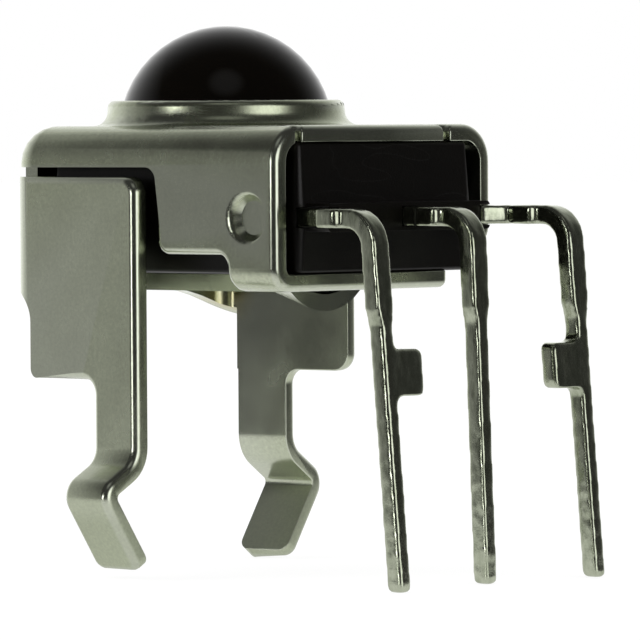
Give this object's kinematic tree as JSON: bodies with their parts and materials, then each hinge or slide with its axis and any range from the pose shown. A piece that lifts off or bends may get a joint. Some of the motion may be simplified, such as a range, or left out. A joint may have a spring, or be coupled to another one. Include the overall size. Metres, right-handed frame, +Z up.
{
  "type": "infrared receiver module",
  "caption": "Infrared receiver module: black moulded package with a lens dome in a folded snap-in sheet-metal holder, with formed leads for a circuit board.",
  "frame": {"origin": "on the lens axis, in the plane of the tips of the legs and leads", "axes": "+Z up along the lens axis, out of the dome; +X towards the side the leads come out of; +Y across, from the wing whose leg is at the front to the wing whose leg is at the back"},
  "size_m": [0.0095, 0.0075, 0.0098],
  "materials": {
    "holder_tinplate": "satin tinned steel sheet, slightly warm grey",
    "package_resin": "black infrared-passing resin, glossy on the dome, fine matt on the body",
    "lead_tin": "dipped tin over the lead frame, bright",
    "chip_silicon": "dark polished silicon",
    "wire_gold": "drawn gold wire"
  },
  "bodies": {
    "root": {"shield_holder": "holder_tinplate", "package": "package_resin", "lead_output": "lead_tin", "lead_ground": "lead_tin", "lead_supply": "lead_tin", "photodiode_chip": "chip_silicon", "receiver_chip": "chip_silicon", "bond_wire_diode": "wire_gold", "bond_wire_output": "wire_gold", "bond_wire_supply": "wire_gold", "bond_wire_ground": "wire_gold"}
  },
  "joints": []
}
